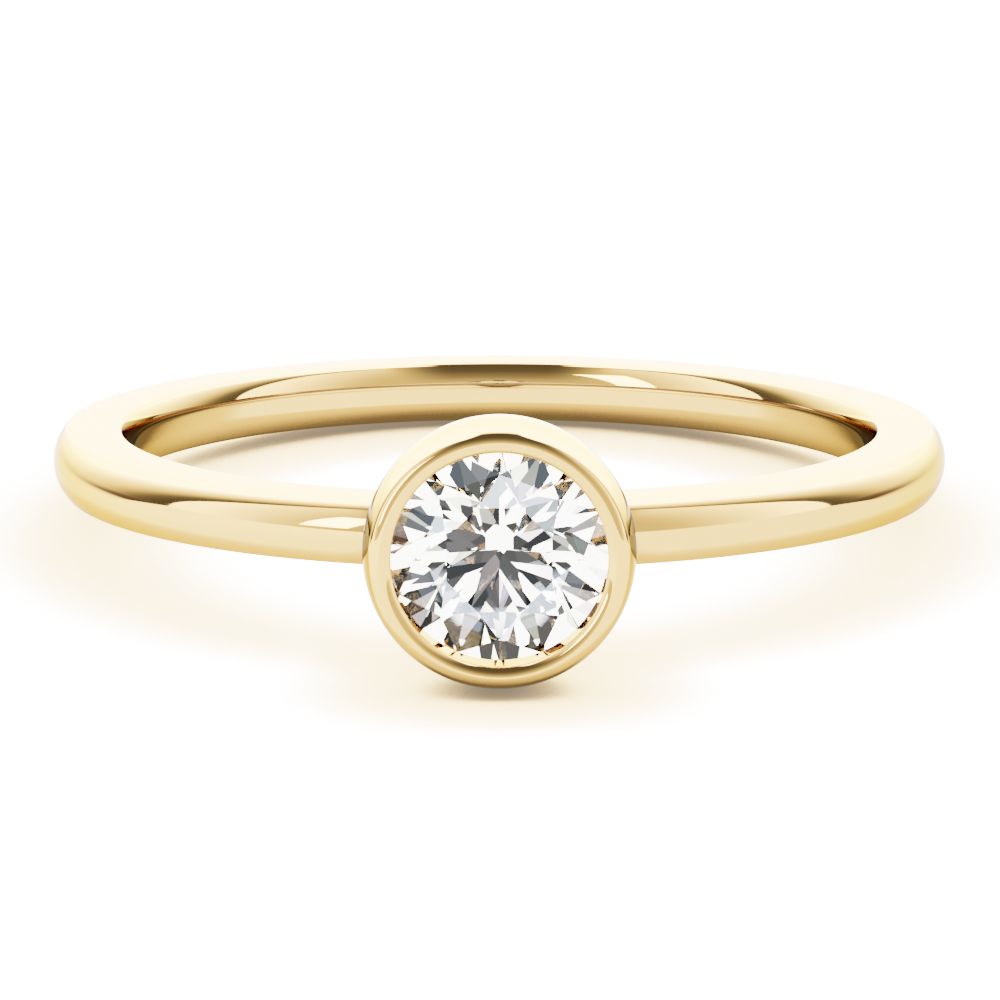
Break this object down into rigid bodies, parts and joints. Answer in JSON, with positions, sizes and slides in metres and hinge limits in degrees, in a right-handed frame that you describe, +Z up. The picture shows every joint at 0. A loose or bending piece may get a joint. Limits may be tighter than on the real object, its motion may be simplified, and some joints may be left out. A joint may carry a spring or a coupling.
{
  "type": "bezel set ring",
  "caption": "Gold solitaire finger ring with a plain domed band and a round bezel cup that holds a round brilliant stone.",
  "frame": {"origin": "on the surface that the ring lies on, below the middle of its outline", "axes": "+Z up; the stone faces -Y; +X across the finger hole to the right, seen from the front"},
  "size_m": [0.0208, 0.0234, 0.0058],
  "materials": {
    "gold": "mirror-polished yellow gold",
    "stone": "polished facets"
  },
  "bodies": {
    "root": {"ring_body": "gold", "stone": "stone"}
  },
  "joints": []
}
